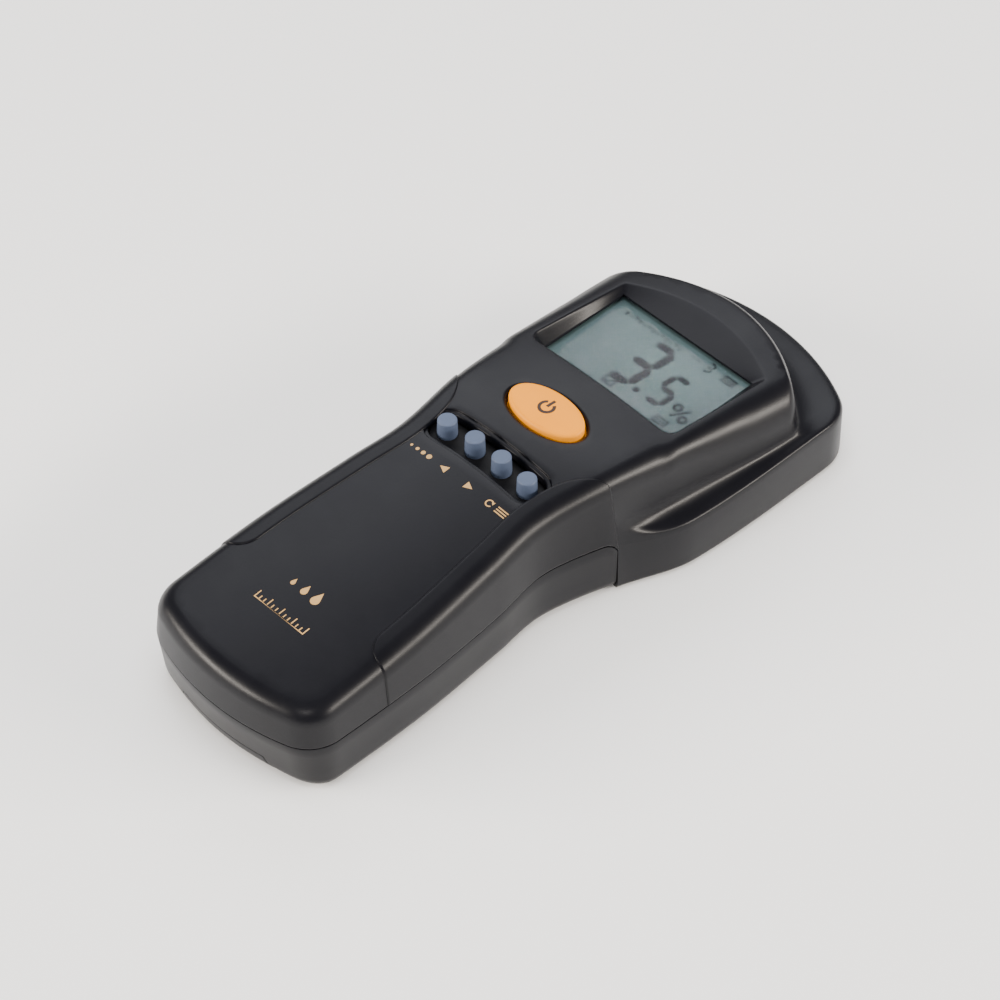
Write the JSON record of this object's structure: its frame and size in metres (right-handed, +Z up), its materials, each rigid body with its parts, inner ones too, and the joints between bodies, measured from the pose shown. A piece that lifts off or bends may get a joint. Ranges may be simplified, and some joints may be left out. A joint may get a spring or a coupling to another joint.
{
  "type": "moisture meter",
  "caption": "Handheld pinless moisture meter: waisted two-part casing with a raised head, recessed display, oval power button, row of round keys and a sliding battery cover.",
  "frame": {"origin": "centre of the flat sensing face on the underside, midway along the length", "axes": "+X to the right seen from above with the head away from you, +Y from the handle end towards the head front, +Z up out of the face with the display"},
  "size_m": [0.0642, 0.162, 0.0325],
  "materials": {
    "casing": "satin moulded black",
    "grip": "soft overmoulded skin",
    "window": "clear acrylic",
    "lcd": "grey-green liquid crystal glass",
    "reflector": "brushed film",
    "frame": "white moulding",
    "zebra": "striped silicone",
    "amber": "satin amber moulding",
    "key": "matt blue-grey silicone",
    "guide": "matt",
    "board": "solder mask",
    "switch": "matt",
    "chip": "moulded epoxy",
    "can": "drawn can",
    "capacitor": "sleeved can",
    "sensor": "copper sheet",
    "insulator": "foam board",
    "lead_white": "wire insulation",
    "lead_red": "wire insulation",
    "lead_black": "wire insulation",
    "battery": "printed metal jacket",
    "foam": "open-cell foam",
    "screw": "zinc-plated"
  },
  "bodies": {
    "casing": {"top_shell": "casing", "bottom_shell": "casing", "side_grip_left": "grip", "side_grip_right": "grip", "display_window": "window", "lcd_panel": "lcd", "lcd_reflector": "reflector", "lcd_frame": "frame", "zebra_strips": "zebra", "key_guide": "guide", "main_board": "board", "switch_bodies": "switch", "microcontroller": "chip", "support_chips": "chip", "crystal": "can", "capacitors": "capacitor", "buzzer": "chip", "sensor_plate": "sensor", "sensor_insulator": "insulator", "sensor_lead": "lead_white", "battery": "battery", "battery_snap": "chip", "battery_lead_red": "lead_red", "battery_lead_black": "lead_black", "battery_foam": "foam", "case_screws": "screw", "board_screws": "screw"},
    "power_button": {"power_button": "amber", "power_plunger": "switch"},
    "density_key": {"density_key": "key", "density_plunger": "switch"},
    "left_key": {"left_key": "key", "left_plunger": "switch"},
    "right_key": {"right_key": "key", "right_plunger": "switch"},
    "mode_key": {"mode_key": "key", "mode_plunger": "switch"},
    "battery_cover": {"battery_cover": "casing"}
  },
  "joints": [
    {"name": "power_button_press", "type": "slide", "parent": "casing", "child": "power_button", "axis": [0, 0, -1], "range_m": [0, 0.0008], "stiffness_N_per_m": 1500},
    {"name": "density_key_press", "type": "slide", "parent": "casing", "child": "density_key", "axis": [0, 0, -1], "range_m": [0, 0.0006], "stiffness_N_per_m": 1500},
    {"name": "left_key_press", "type": "slide", "parent": "casing", "child": "left_key", "axis": [0, 0, -1], "range_m": [0, 0.0006], "stiffness_N_per_m": 1500},
    {"name": "right_key_press", "type": "slide", "parent": "casing", "child": "right_key", "axis": [0, 0, -1], "range_m": [0, 0.0006], "stiffness_N_per_m": 1500},
    {"name": "mode_key_press", "type": "slide", "parent": "casing", "child": "mode_key", "axis": [0, 0, -1], "range_m": [0, 0.0006], "stiffness_N_per_m": 1500},
    {"name": "battery_cover_slide", "type": "slide", "parent": "casing", "child": "battery_cover", "axis": [0, -1, 0], "range_m": [0, 0.046]}
  ]
}
